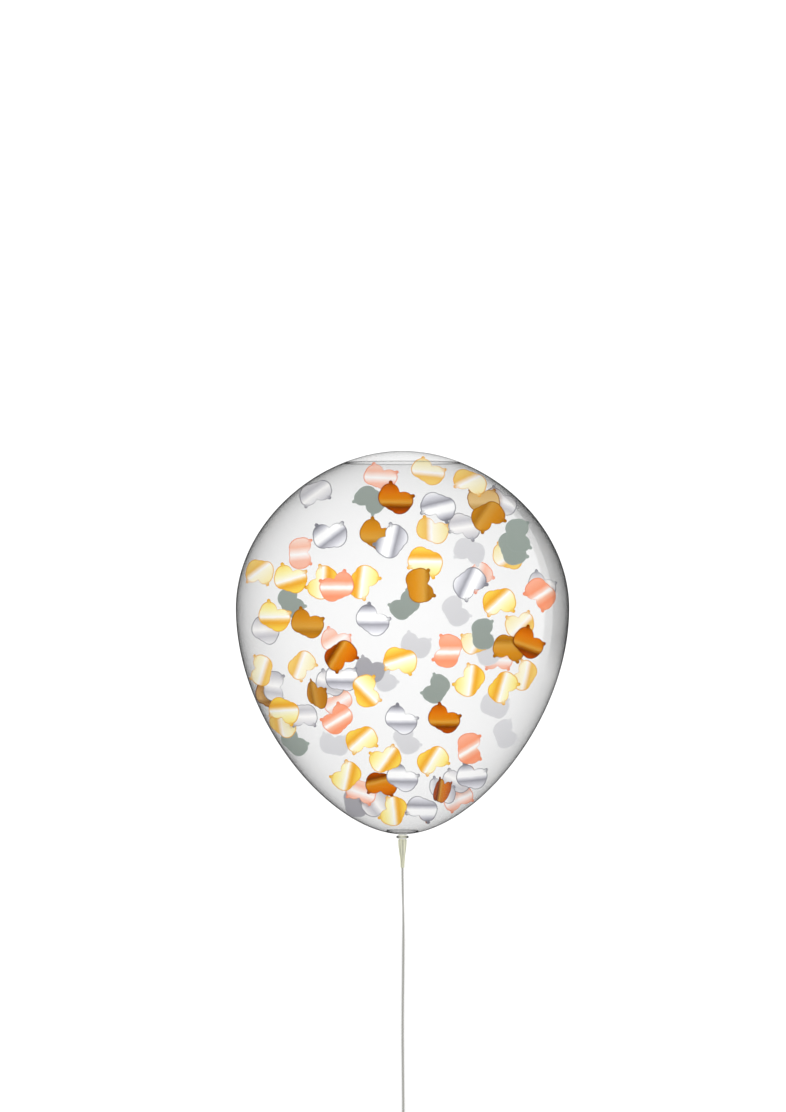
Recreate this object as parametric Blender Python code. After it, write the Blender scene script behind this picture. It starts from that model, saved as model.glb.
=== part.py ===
"""A clear latex balloon on a string, lying on its side.

Metres, +Z up. The balloon's axis runs along Y, its crown towards +Y and its neck towards -Y.
The origin is on the surface it lies on, under the middle of the balloon's length.
"""

import math

import bmesh
import bpy
from mathutils import Vector

# The inflated body, from its widest ring to the crown and to the neck
BODY_DIAMETER = 0.300
CROWN_LENGTH = 0.1414
SHOULDER_LENGTH = 0.2032
# How far each end of the outline holds its direction, as a share of its own half: along the axis, then across it
CROWN_PULL = (0.54, 0.50)
SHOULDER_PULL = (0.50, 0.42)
# The body rests on a small flat spot, this deep
FLAT_SPOT_DEPTH = 0.0025

# The gathered neck and the tail of unblown latex below it
NECK_DIAMETER = 0.0066
NECK_FILLET = 0.0015
TAIL_LENGTH = 0.0302
TAIL_TOP_DIAMETER = 0.0074
TAIL_END_DIAMETER = 0.0050
TAIL_SHOULDER = 0.0015
TAIL_END_ROUND = 0.0006

# The string, one piece that is knotted round the neck, runs free and ends in a coil
STRING_DIAMETER = 0.0022
STRING_LENGTH = 1.20
# Centre of the string where it lies on the surface
STRING_REST_HEIGHT = 0.0012
# The string leaves the tail straight for this far
STRING_LEAD_OUT = 0.006

# The coil: its place, the radius at the middle of its turns and how many turns lie side by side
COIL_CENTRE_Y = -0.4570
COIL_MEAN_RADIUS = 0.0130
COIL_TURNS_ACROSS = 3
COIL_TURN_PITCH = 0.00227
COIL_LAYER_PITCH = 0.00220
COIL_CORNER = 0.0010

# The twist tie round the coil
TIE_WIDTH = 0.0035
TIE_THICKNESS = 0.0006
TIE_CLEARANCE = 0.0004

# Gap between pieces that touch
TOUCH_GAP = 0.0003

# How finely round forms are divided
BODY_SIDES = 60
CROWN_ROWS = 19
SHOULDER_ROWS = 26
COIL_SIDES = 40
KNOT_SIDES = 24
KNOT_SECTION_SIDES = 8
STRING_POINT_SPACING = 2.5 * STRING_DIAMETER

# Places that follow from the sizes
BODY_RADIUS = BODY_DIAMETER / 2
AXIS_HEIGHT = BODY_RADIUS - FLAT_SPOT_DEPTH
CROWN_Y = (CROWN_LENGTH + SHOULDER_LENGTH + TAIL_LENGTH) / 2
WIDEST_Y = CROWN_Y - CROWN_LENGTH
BODY_END_Y = WIDEST_Y - SHOULDER_LENGTH
TAIL_END_Y = BODY_END_Y - TAIL_LENGTH
KNOT_Y = BODY_END_Y - NECK_FILLET - STRING_DIAMETER / 2
WAIST_END_Y = KNOT_Y - STRING_DIAMETER / 2 - TOUCH_GAP
STRING_EXIT = Vector((0.0, TAIL_END_Y - TOUCH_GAP, AXIS_HEIGHT))
COIL_OUTER_TURN_RADIUS = COIL_MEAN_RADIUS + (COIL_TURNS_ACROSS - 1) / 2 * COIL_TURN_PITCH
COIL_BASE = TIE_THICKNESS + TIE_CLEARANCE

# The string's way from the tail to the coil: it droops to the surface and lies straight along it
STRING_ROUTE = (
    (0.0001, -0.2000, 0.1464),
    (0.0002, -0.2068, 0.1428),
    (0.0003, -0.2126, 0.1364),
    (0.0004, -0.2172, 0.1274),
    (0.0005, -0.2208, 0.1164),
    (0.0006, -0.2239, 0.1034),
    (0.0007, -0.2267, 0.0884),
    (0.0008, -0.2295, 0.0724),
    (0.0009, -0.2325, 0.0564),
    (0.0010, -0.2361, 0.0406),
    (0.0011, -0.2410, 0.0262),
    (0.0012, -0.2482, 0.0138),
    (0.0013, -0.2584, 0.0053),
    (0.0013, -0.2705, 0.0018),
    (0.0012, -0.2840, STRING_REST_HEIGHT),
    (0.0010, -0.3060, STRING_REST_HEIGHT),
    (0.0007, -0.3320, STRING_REST_HEIGHT),
    (0.0006, -0.3600, STRING_REST_HEIGHT),
    (0.0008, -0.3880, STRING_REST_HEIGHT),
    (0.0011, -0.4150, STRING_REST_HEIGHT),
    (0.0013, -0.4330, STRING_REST_HEIGHT),
)
COIL_CENTRE_X = STRING_ROUTE[-1][0] - COIL_OUTER_TURN_RADIUS


def clear_scene():
    """Removes every object, so that the script can run again."""
    for old in list(bpy.data.objects):
        bpy.data.objects.remove(old, do_unlink=True)


def make_material(name, colour, roughness, transmission=0.0):
    """A Principled material of one colour."""
    material = bpy.data.materials.new(name)
    material.use_nodes = True
    shader = material.node_tree.nodes["Principled BSDF"]
    shader.inputs["Base Color"].default_value = (*colour, 1.0)
    shader.inputs["Roughness"].default_value = roughness
    shader.inputs["Metallic"].default_value = 0.0
    shader.inputs["Transmission Weight"].default_value = transmission
    return material


def add_mesh_object(name, mesh_builder, material):
    """Turns a bmesh into a smooth-shaded object with its own material."""
    bmesh.ops.recalc_face_normals(mesh_builder, faces=mesh_builder.faces)
    mesh = bpy.data.meshes.new(name)
    mesh_builder.to_mesh(mesh)
    mesh_builder.free()
    mesh.shade_smooth()
    mesh.set_sharp_from_angle(angle=math.radians(40))
    mesh.materials.append(material)
    made = bpy.data.objects.new(name, mesh)
    bpy.context.scene.collection.objects.link(made)
    return made


def cubic(start, start_handle, end_handle, end, share):
    """The point at a share of the way along a cubic curve."""
    rest = 1 - share
    return (
        start * rest**3
        + start_handle * 3 * rest**2 * share
        + end_handle * 3 * rest * share**2
        + end * share**3
    )


def half_outline(length, pull, rows):
    """Points of one half of the body, as (radius, distance from the widest ring), from that ring to its end."""
    along, across = pull
    start = Vector((BODY_RADIUS, 0.0))
    start_handle = Vector((BODY_RADIUS, along * length))
    end_handle = Vector((across * BODY_RADIUS, length))
    end = Vector((0.0, length))
    return [cubic(start, start_handle, end_handle, end, row / rows) for row in range(rows + 1)]


def body_outline():
    """The body's outline as (radius, y), from the crown's pole to where the neck's fillet starts."""
    crown = half_outline(CROWN_LENGTH, CROWN_PULL, CROWN_ROWS)
    points = [(radius, WIDEST_Y + distance) for radius, distance in reversed(crown)]
    fillet_radius = NECK_DIAMETER / 2 + NECK_FILLET
    shoulder = half_outline(SHOULDER_LENGTH, SHOULDER_PULL, SHOULDER_ROWS)
    points += [
        (radius, WIDEST_Y - distance)
        for radius, distance in shoulder[1:]
        if radius > fillet_radius + NECK_FILLET
    ]
    return points


def neck_outline():
    """The neck and tail as (radius, y): a fillet, a waist for the knot, a small shoulder and a long taper."""
    waist = NECK_DIAMETER / 2
    top = TAIL_TOP_DIAMETER / 2
    end = TAIL_END_DIAMETER / 2
    points = []
    for step in range(4):
        turn = math.radians(90) * step / 3
        points.append(
            (
                waist + NECK_FILLET * (1 - math.sin(turn)),
                BODY_END_Y - NECK_FILLET * (1 - math.cos(turn)),
            )
        )
    points.append((waist, WAIST_END_Y))
    points.append(((waist + top) / 2, WAIST_END_Y - 0.4 * TAIL_SHOULDER))
    points.append((top, WAIST_END_Y - TAIL_SHOULDER))
    taper_start = WAIST_END_Y - TAIL_SHOULDER
    taper_end = TAIL_END_Y + TAIL_END_ROUND
    for step in range(1, 6):
        share = step / 5
        narrowing = share * share * (3 - 2 * share)
        points.append((top + (end - top) * narrowing, taper_start + (taper_end - taper_start) * share))
    points.append((end - TAIL_END_ROUND, TAIL_END_Y))
    points.append((0.0, TAIL_END_Y))
    return points


def turn_about_y(outline, sides, centre_x=0.0, centre_z=0.0, closed=False):
    """A closed solid of revolution about a line along Y, from (radius, y) points."""
    solid = bmesh.new()
    rings = []
    for radius, y in outline:
        count = sides if radius > 1e-7 else 1
        ring = []
        for side in range(count):
            # Half a step of turn puts a face, and not an edge, underneath
            turn = math.tau * (side + 0.5) / sides
            place = (centre_x + radius * math.sin(turn), y, centre_z - radius * math.cos(turn))
            ring.append(solid.verts.new(place))
        rings.append(ring)
    pairs = list(zip(rings, rings[1:]))
    if closed:
        pairs.append((rings[-1], rings[0]))
    for first, second in pairs:
        for side in range(sides):
            corners = [
                first[side % len(first)],
                first[(side + 1) % len(first)],
                second[(side + 1) % len(second)],
                second[side % len(second)],
            ]
            solid.faces.new(list(dict.fromkeys(corners)))
    return solid


def make_balloon():
    """The latex balloon, solid because it is sealed, with the flat spot that it rests on."""
    outline = body_outline() + neck_outline()
    solid = turn_about_y(outline, BODY_SIDES, centre_z=AXIS_HEIGHT)
    cut = bmesh.ops.bisect_plane(
        solid,
        geom=solid.verts[:] + solid.edges[:] + solid.faces[:],
        plane_co=(0.0, 0.0, 0.0),
        plane_no=(0.0, 0.0, -1.0),
        clear_outer=True,
    )
    rim = [item for item in cut["geom_cut"] if isinstance(item, bmesh.types.BMEdge)]
    bmesh.ops.edgeloop_fill(solid, edges=rim)
    latex = make_material("clear_latex", (0.90, 0.90, 0.92), 0.05, transmission=0.9)
    return add_mesh_object("balloon", solid, latex)


def make_knot(material):
    """One turn of the string, pulled tight round the neck."""
    section = STRING_DIAMETER / 2
    ring_radius = NECK_DIAMETER / 2 + TOUCH_GAP + section
    outline = []
    for side in range(KNOT_SECTION_SIDES):
        turn = math.tau * side / KNOT_SECTION_SIDES
        outline.append((ring_radius + section * math.cos(turn), KNOT_Y + section * math.sin(turn)))
    solid = turn_about_y(outline, KNOT_SIDES, centre_z=AXIS_HEIGHT, closed=True)
    return add_mesh_object("string_knot", solid, material)


def smooth_route(points, spacing):
    """Even points along a smooth curve through the given points."""
    ends = [2 * points[0] - points[1], *points, 2 * points[-1] - points[-2]]
    fine = [points[0].copy()]
    steps = 24
    for index in range(1, len(ends) - 2):
        before, start, end, after = ends[index - 1 : index + 3]
        start_handle = start + (end - before) / 6
        end_handle = end - (after - start) / 6
        for step in range(1, steps + 1):
            fine.append(cubic(start, start_handle, end_handle, end, step / steps))
    lengths = [0.0]
    for first, second in zip(fine, fine[1:]):
        lengths.append(lengths[-1] + (second - first).length)
    count = max(2, round(lengths[-1] / spacing))
    even = []
    place = 0
    for index in range(count + 1):
        wanted = lengths[-1] * index / count
        while place < len(lengths) - 2 and lengths[place + 1] < wanted:
            place += 1
        share = (wanted - lengths[place]) / (lengths[place + 1] - lengths[place])
        even.append(fine[place].lerp(fine[place + 1], share))
    return even, lengths[-1]


def free_string_points():
    """The string's centre line from the tail to the coil, and its length."""
    lead_out = STRING_EXIT + Vector((0.0, -STRING_LEAD_OUT, 0.0))
    # The tube stops where its side comes within the touching gap of the coil
    reach = COIL_OUTER_TURN_RADIUS + STRING_DIAMETER + 2 * TOUCH_GAP
    stop_y = COIL_CENTRE_Y + math.sqrt(reach**2 - COIL_OUTER_TURN_RADIUS**2)
    last = Vector((STRING_ROUTE[-1][0], stop_y, STRING_REST_HEIGHT))
    points = [STRING_EXIT, lead_out, *(Vector(point) for point in STRING_ROUTE), last]
    return smooth_route(points, STRING_POINT_SPACING)


def make_string(points, material):
    """The free stretch of the string, as a tube."""
    curve = bpy.data.curves.new("string", "CURVE")
    curve.dimensions = "3D"
    curve.bevel_depth = STRING_DIAMETER / 2
    curve.bevel_resolution = 2
    curve.use_fill_caps = True
    spline = curve.splines.new("POLY")
    spline.points.add(len(points) - 1)
    for slot, point in zip(spline.points, points):
        slot.co = (*point, 1.0)
    curve.materials.append(material)
    made = bpy.data.objects.new("string", curve)
    bpy.context.scene.collection.objects.link(made)
    return made


def coil_section(free_length):
    """The coil's inner and outer radius, bottom and top, from the length of string that it holds."""
    turns = (STRING_LENGTH - free_length) / (math.tau * COIL_MEAN_RADIUS)
    layers = max(1, math.ceil(turns / COIL_TURNS_ACROSS))
    half_width = (COIL_TURNS_ACROSS - 1) / 2 * COIL_TURN_PITCH + STRING_DIAMETER / 2
    height = (layers - 1) * COIL_LAYER_PITCH + STRING_DIAMETER
    return COIL_MEAN_RADIUS - half_width, COIL_MEAN_RADIUS + half_width, COIL_BASE, COIL_BASE + height


def make_coil(section, material):
    """The coil's outer shape, a turned ring with rounded edges, about a line along Z."""
    inner, outer, bottom, top = section
    corners = (
        (outer - COIL_CORNER, bottom + COIL_CORNER, -90),
        (outer - COIL_CORNER, top - COIL_CORNER, 0),
        (inner + COIL_CORNER, top - COIL_CORNER, 90),
        (inner + COIL_CORNER, bottom + COIL_CORNER, 180),
    )
    outline = []
    for radius, height, start in corners:
        for step in range(3):
            turn = math.radians(start + 45 * step)
            outline.append((radius + COIL_CORNER * math.cos(turn), height + COIL_CORNER * math.sin(turn)))
    solid = turn_about_y(outline, COIL_SIDES, closed=True)
    for vertex in solid.verts:
        x, y, z = vertex.co
        vertex.co = (COIL_CENTRE_X + x, COIL_CENTRE_Y + z, y)
    return add_mesh_object("string_coil", solid, material)


def make_coil_tie(section):
    """The twist tie, a flat band round the coil's section on the side away from the string."""
    inner, outer, bottom, top = section
    solid = bmesh.new()
    loops = []
    for side in (-1, 1):
        for margin in (TIE_CLEARANCE, TIE_CLEARANCE + TIE_THICKNESS):
            corners = (
                (outer + margin, bottom - margin),
                (inner - margin, bottom - margin),
                (inner - margin, top + margin),
                (outer + margin, top + margin),
            )
            loops.append(
                [
                    solid.verts.new(
                        (COIL_CENTRE_X - radius, COIL_CENTRE_Y + side * TIE_WIDTH / 2, height)
                    )
                    for radius, height in corners
                ]
            )
    left_inner, left_outer, right_inner, right_outer = loops
    for first, second in (
        (left_inner, left_outer),
        (left_outer, right_outer),
        (right_outer, right_inner),
        (right_inner, left_inner),
    ):
        for index in range(4):
            following = (index + 1) % 4
            solid.faces.new((first[index], first[following], second[following], second[index]))
    paper = make_material("tie_paper", (0.86, 0.85, 0.80), 0.6)
    made = add_mesh_object("coil_tie", solid, paper)
    edges = made.modifiers.new("edges", "BEVEL")
    edges.width = TIE_THICKNESS / 3
    edges.segments = 1
    edges.limit_method = "ANGLE"
    return made


def main():
    """Builds every piece where it lies."""
    clear_scene()
    string_material = make_material("string_cotton", (0.36, 0.36, 0.34), 0.8)
    make_balloon()
    make_knot(string_material)
    points, free_length = free_string_points()
    make_string(points, string_material)
    section = coil_section(free_length)
    make_coil(section, string_material)
    make_coil_tie(section)


main()
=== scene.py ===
"""Looks of a clear confetti balloon that lies on its side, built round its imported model.

The seen pieces are the stretched latex film, the tail of thick latex, the loose foil confetti
sealed inside, the string with its knot and coil, and the paper tie that holds the coil.
"""
import logging
import math
import random
from collections.abc import Sequence
from dataclasses import dataclass, replace
from enum import Enum
from functools import cached_property
from itertools import product

import bmesh
import bpy
import numpy as np
from bpy.types import ID, ColorRamp, Material, Mesh, Node, NodeSocket, NodeTree, Object
from mathutils import Matrix, Vector


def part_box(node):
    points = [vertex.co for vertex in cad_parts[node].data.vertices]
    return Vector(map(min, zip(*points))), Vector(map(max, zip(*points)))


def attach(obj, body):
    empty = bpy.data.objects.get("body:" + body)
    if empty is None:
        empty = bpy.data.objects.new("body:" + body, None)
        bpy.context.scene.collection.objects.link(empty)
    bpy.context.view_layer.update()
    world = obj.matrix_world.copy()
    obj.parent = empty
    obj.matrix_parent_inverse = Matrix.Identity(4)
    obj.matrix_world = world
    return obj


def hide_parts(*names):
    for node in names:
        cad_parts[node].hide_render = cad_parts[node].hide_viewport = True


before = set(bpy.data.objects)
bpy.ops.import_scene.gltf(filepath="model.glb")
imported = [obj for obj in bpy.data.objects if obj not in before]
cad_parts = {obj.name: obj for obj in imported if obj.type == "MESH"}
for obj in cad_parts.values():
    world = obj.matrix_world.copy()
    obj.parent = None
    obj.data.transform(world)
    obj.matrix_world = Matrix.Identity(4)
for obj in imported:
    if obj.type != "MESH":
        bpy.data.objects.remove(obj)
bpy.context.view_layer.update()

LOG = logging.getLogger("confetti_balloon")

Face = tuple[int, ...]
Stops = tuple[tuple[float, str], ...]
Values = dict[str | int, object]
Links = dict[str | int, NodeSocket]

MM_PER_METRE = 1000.0
TOUCH_GAP = 0.0003
STRING_DIAMETER = 0.0022
STRING_LENGTH = 1.20
STRING_REST_HEIGHT = 0.0012

# The string's way in metres: down from the tail to the surface, then straight along it to the coil
STRING_DROOP = (
    (0.0001, -0.2000, 0.1464), (0.0002, -0.2068, 0.1428), (0.0003, -0.2126, 0.1364),
    (0.0004, -0.2172, 0.1274), (0.0005, -0.2208, 0.1164), (0.0006, -0.2239, 0.1034),
    (0.0007, -0.2267, 0.0884), (0.0008, -0.2295, 0.0724), (0.0009, -0.2325, 0.0564),
    (0.0010, -0.2361, 0.0406), (0.0011, -0.2410, 0.0262), (0.0012, -0.2482, 0.0138),
    (0.0013, -0.2584, 0.0053), (0.0013, -0.2705, 0.0018),
)
STRING_LIE = (
    (0.0012, -0.2840), (0.0010, -0.3060), (0.0007, -0.3320), (0.0006, -0.3600),
    (0.0008, -0.3880), (0.0011, -0.4150), (0.0013, -0.4330),
)


def linear(hex_colour: str) -> tuple[float, ...]:
    """Turns an sRGB hex colour, such as #FFFFFF, into linear light with an alpha of one."""
    channels = [int(hex_colour[place : place + 2], 16) / 255 for place in (1, 3, 5)]
    return *(c / 12.92 if c <= 0.04045 else ((c + 0.055) / 1.055) ** 2.4 for c in channels), 1.0


def add_node(tree: NodeTree, kind: str, settings: Values | None = None, links: Links | None = None) -> Node:
    """Adds a node with its settings and links.

    Args:
        tree: The node tree to add to.
        kind: Blender's name for the node's type.
        settings: Values by property name, or by input name or number.
        links: Output sockets by the name or number of the input that they feed.

    Returns:
        The new node.
    """
    node = tree.nodes.new(kind)
    for name, value in (settings or {}).items():
        if isinstance(name, int) or name in node.inputs:
            node.inputs[name].default_value = value
        else:
            setattr(node, name, value)
    for name, source in (links or {}).items():
        tree.links.new(source, node.inputs[name])
    return node


def add_shade(tree: NodeTree, name: str) -> NodeSocket:
    """Reads a value that the mesh holds for each point."""
    return add_node(tree, "ShaderNodeAttribute", {"attribute_name": name}).outputs["Fac"]


def add_noise(tree: NodeTree, size_mm: float, detail: float, stretch: float = 1.0) -> NodeSocket:
    """Adds cloudy noise in the object's own space.

    Args:
        tree: The node tree to add to.
        size_mm: How many millimetres across its features are.
        detail: How many finer layers it has.
        stretch: Its scale along Y, where less draws the features out.

    Returns:
        The noise's socket.
    """
    place = add_node(tree, "ShaderNodeTexCoord")
    scale = {"Scale": (1.0, stretch, 1.0)}
    along = add_node(tree, "ShaderNodeMapping", scale, {"Vector": place.outputs["Object"]})
    clouds = {"Scale": MM_PER_METRE / size_mm, "Detail": detail}
    return add_node(tree, "ShaderNodeTexNoise", clouds, {"Vector": along.outputs["Vector"]}).outputs["Fac"]


def add_bump(tree: NodeTree, height: NodeSocket, strength: float, depth: float) -> NodeSocket:
    """Adds a relief by its height, and gives the socket of the surface's new direction."""
    raised = {"Strength": strength, "Distance": depth}
    return add_node(tree, "ShaderNodeBump", raised, {"Height": height}).outputs["Normal"]


def set_stops(ramp: ColorRamp, stops: Stops) -> None:
    """Gives a new ramp its colours.

    Args:
        ramp: The ramp, with its two marks.
        stops: Two or more colours by their place, in order.
    """
    marks = ramp.elements
    for mark, (place, colour) in zip(marks, (stops[0], stops[-1])):
        mark.position, mark.color = place, linear(colour)
    for place, colour in stops[1:-1]:
        marks.new(place).color = linear(colour)


def new_material(name: str, values: Values) -> tuple[Material, NodeTree, Node]:
    """Makes a material that holds a Principled shader and its output.

    Args:
        name: The material's name.
        values: The shader's plain values by input name.

    Returns:
        The material, its node tree and its Principled node.
    """
    material = bpy.data.materials.new(name)
    material.use_nodes = True
    shader = material.node_tree.nodes["Principled BSDF"]
    for socket, value in values.items():
        shader.inputs[socket].default_value = value
    return material, material.node_tree, shader


def cubic(start: Vector, leave: Vector, arrive: Vector, end: Vector, share: float) -> Vector:
    """Finds the point at a share of the way along a cubic curve, by its ends and their handles."""
    rest = 1 - share
    return start * rest**3 + leave * 3 * rest**2 * share + arrive * 3 * rest * share**2 + end * share**3


def ease(share: float) -> float:
    """Smooths a share's start and end."""
    return share * share * (3 - 2 * share)


def smooth_path(points: list[Vector], spacing: float, steps: int = 16) -> tuple[list[Vector], float]:
    """Lays even points along a smooth curve through the given points.

    Args:
        points: Points that the curve passes through.
        spacing: The wanted distance between the even points, in metres.
        steps: How finely the curve is measured between two points.

    Returns:
        The even points, and the curve's length.
    """
    ends = [2 * points[0] - points[1], *points, 2 * points[-1] - points[-2]]
    fine = [points[0].copy()]
    for before, start, end, after in zip(ends, ends[1:], ends[2:], ends[3:]):
        leave = start + (end - before) / 6
        arrive = end - (after - start) / 6
        fine += [cubic(start, leave, arrive, end, step / steps) for step in range(1, steps + 1)]
    lengths = np.concatenate([[0.0], np.cumsum([(b - a).length for a, b in zip(fine, fine[1:])])])
    wanted = np.linspace(0.0, lengths[-1], max(2, round(lengths[-1] / spacing)) + 1)
    even = [np.interp(wanted, lengths, axis) for axis in np.array(fine).T]
    return [Vector(point) for point in zip(*even)], float(lengths[-1])


def join_rings(starts: Sequence[int], sides: int) -> list[Face]:
    """Joins each ring of points, by the number that it starts at, to the next with four-sided faces."""
    pairs = [(side, (side + 1) % sides, *ends) for ends in zip(starts, starts[1:]) for side in range(sides)]
    return [(one + side, one + after, two + after, two + side) for side, after, one, two in pairs]


def smooth_mesh(name: str, points: np.ndarray, faces: list[Face], shades: dict[str, np.ndarray]) -> Mesh:
    """Makes a smooth mesh.

    Args:
        name: The mesh's name.
        points: Rows of x, y and z, in metres.
        faces: The faces' corners.
        shades: Values for each point that a material reads, by name.

    Returns:
        The mesh.
    """
    mesh = bpy.data.meshes.new(name)
    mesh.from_pydata(np.array(points).tolist(), [], faces)
    mesh.shade_smooth()
    for label, values in shades.items():
        attribute = mesh.attributes.new(label, "FLOAT", "POINT")
        attribute.data.foreach_set("value", np.array(values, np.float32))
    return mesh


def face_outward(mesh: Mesh, merge: float = 0.0) -> None:
    """Turns all faces outward, once points that fall together are made one.

    Args:
        mesh: A closed mesh.
        merge: How near such points are, in metres.
    """
    work = bmesh.new()
    work.from_mesh(mesh)
    if merge:
        bmesh.ops.remove_doubles(work, verts=work.verts, dist=merge)
    bmesh.ops.recalc_face_normals(work, faces=work.faces)
    work.to_mesh(mesh)
    work.free()


def add_object(name: str, data: ID, place: Sequence[float] = (0.0, 0.0, 0.0)) -> Object:
    """Puts an object in the scene at its place."""
    thing = bpy.data.objects.new(name, data)
    thing.location = place
    bpy.context.scene.collection.objects.link(thing)
    return thing


def add_piece(
    mesh: Mesh, materials: list[Material], slot: str, *nodes: str, matrix: Matrix | None = None
) -> Object:
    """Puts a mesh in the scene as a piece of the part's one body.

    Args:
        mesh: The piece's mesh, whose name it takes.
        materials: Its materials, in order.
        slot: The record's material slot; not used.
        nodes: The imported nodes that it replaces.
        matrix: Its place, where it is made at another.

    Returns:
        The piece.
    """
    for material in materials:
        mesh.materials.append(material)
    piece = add_object(mesh.name, mesh)
    if matrix:
        piece.matrix_world = matrix
    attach(piece, "root")
    if nodes:
        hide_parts(*nodes)
    return piece


@dataclass
class BodyShape:
    """The inflated body's outline, the same as the solid's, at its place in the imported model.

    The outline has two halves, each a cubic curve that leaves the widest ring along the axis and
    meets the axis squarely.
    """

    crown_length: float = 0.1414
    shoulder_length: float = 0.2032
    crown_pull: tuple[float, float] = (0.54, 0.50)
    shoulder_pull: tuple[float, float] = (0.50, 0.42)
    flat_spot_depth: float = 0.0025
    film: float = 0.0003
    table_steps: int = 400

    def __post_init__(self) -> None:
        """Reads the balloon's place from its solid, and tables its radius by the place along the axis."""
        low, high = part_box("balloon")
        self.radius = (high.x - low.x) / 2
        self.axis_height = self.radius - self.flat_spot_depth
        self.crown_y = high.y
        self.widest_y = self.crown_y - self.crown_length
        self.body_end_y = self.widest_y - self.shoulder_length
        self.tail_end_y = low.y
        rows = self.outline(self.table_steps)[::-1]
        self.ys, self.radii = rows[:, 1], rows[:, 0]

    def outline(self, steps: int) -> np.ndarray:
        """Draws the outline from the crown's pole to the neck's.

        Args:
            steps: How many steps each half has.

        Returns:
            Rows of (radius, y).
        """
        halves = []
        for length, (along, across), sign in (
            (self.crown_length, self.crown_pull, 1),
            (self.shoulder_length, self.shoulder_pull, -1),
        ):
            corners = ((1.0, 0.0), (1.0, along), (across, 1.0), (0.0, 1.0))
            ends = [Vector((self.radius * out, length * on)) for out, on in corners]
            half = [cubic(*ends, step / steps) for step in range(steps + 1)]
            halves.append([(point.x, self.widest_y + sign * point.y) for point in half])
        return np.array(halves[0][::-1] + halves[1][1:])

    def depth_inside(self, points: np.ndarray) -> np.ndarray:
        """Measures how far points lie inside the film.

        Args:
            points: Rows of x, y and z.

        Returns:
            Metres inside, negative outside, by the nearer of the film and its flat spot.
        """
        limit = np.interp(points[:, 1], self.ys, self.radii, left=-1.0, right=-1.0) - self.film
        from_axis = np.hypot(points[:, 0], points[:, 2] - self.axis_height)
        return np.minimum(limit - from_axis, points[:, 2] - self.film)

    def normal(self, point: Vector, step: float = 0.002) -> Vector:
        """Gives the film's outward direction nearest a point.

        Args:
            point: A point on or near the film.
            step: How far to each side its slope is measured.

        Returns:
            A unit vector.
        """
        rise = np.interp([point.y - step, point.y + step], self.ys, self.radii)
        slope = (rise[1] - rise[0]) / (2 * step)
        around = Vector((point.x, 0.0, point.z - self.axis_height)).normalized()
        return Vector((around.x, -slope, around.z)).normalized()


@dataclass
class StudioCamera:
    """The camera, which looks straight down on the lying balloon at the photograph's framing.

    All columns, rows and widths are pixels of the photograph.
    """

    shape: BodyShape
    width: int = 786
    height: int = 1112
    axis_column: float = 402.5
    crown_row: float = 451.0
    middle_row: float = 640.0
    body_width: float = 333.0
    lens_mm: float = 100.0
    sensor_mm: float = 36.0

    def __post_init__(self) -> None:
        """Works out the camera's place from the pixels of the axis and of the crown."""
        pixel = 2 * self.shape.radius / self.body_width
        self.focal = self.height * self.lens_mm / self.sensor_mm
        right_of_axis = (self.width / 2 - self.axis_column) * pixel
        below_crown = (self.height / 2 - self.crown_row) * pixel
        height = self.shape.axis_height + self.focal * pixel
        self.place = Vector((right_of_axis, self.shape.crown_y - below_crown, height))

    def ray(self, column: float, row: float) -> Vector:
        """Finds the way in which a pixel looks, with a fall of one metre."""
        return Vector((column - self.width / 2, self.height / 2 - row, -self.focal)) / self.focal

    def build(self) -> None:
        """Makes the camera and gives it to the scene."""
        data = bpy.data.cameras.new("camera")
        data.lens = self.lens_mm
        data.sensor_width = self.sensor_mm
        data.dof.use_dof = False
        bpy.context.scene.camera = add_object("camera", data, self.place)


@dataclass(frozen=True)
class ClearLatexFilm:
    """Unpigmented natural rubber latex, dipped thin and blown up.

    To the eye it is clear face on and grey along its rim, where a line of sight runs a long way through
    the film. That comes from the film's own thickness and a plain absorption.
    """

    absorption_per_metre: float = 333.0
    grey: float = 0.5
    gloss: float = 0.05
    gloss_roughness: float = 0.04
    ripple_mm: float = 26.0
    ripple_strength: float = 0.12
    ripple_depth: float = 0.001

    def build(self) -> Material:
        """Makes the material.

        Returns:
            The material.
        """
        clear = {"Base Color": linear("#FFFFFF"), "Roughness": 0.0, "Transmission Weight": 1.0}
        # Both faces of so thin a film bend light by the same amount, so in all it goes straight on
        clear["IOR"] = 1.0
        coat = {"Coat Weight": self.gloss, "Coat Roughness": self.gloss_roughness, "Coat IOR": 1.5}
        material, tree, shader = new_material("clear_stretched_latex_film", clear | coat)
        ripple = add_noise(tree, self.ripple_mm, detail=1.0)
        relief = add_bump(tree, ripple, self.ripple_strength, self.ripple_depth)
        tree.links.new(relief, shader.inputs["Coat Normal"])
        density = self.absorption_per_metre / (1 - self.grey)
        haze = {"Color": (self.grey, self.grey, self.grey, 1.0), "Density": density}
        absorb = add_node(tree, "ShaderNodeVolumeAbsorption", haze)
        tree.links.new(absorb.outputs["Volume"], tree.nodes["Material Output"].inputs["Volume"])
        return material


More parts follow.
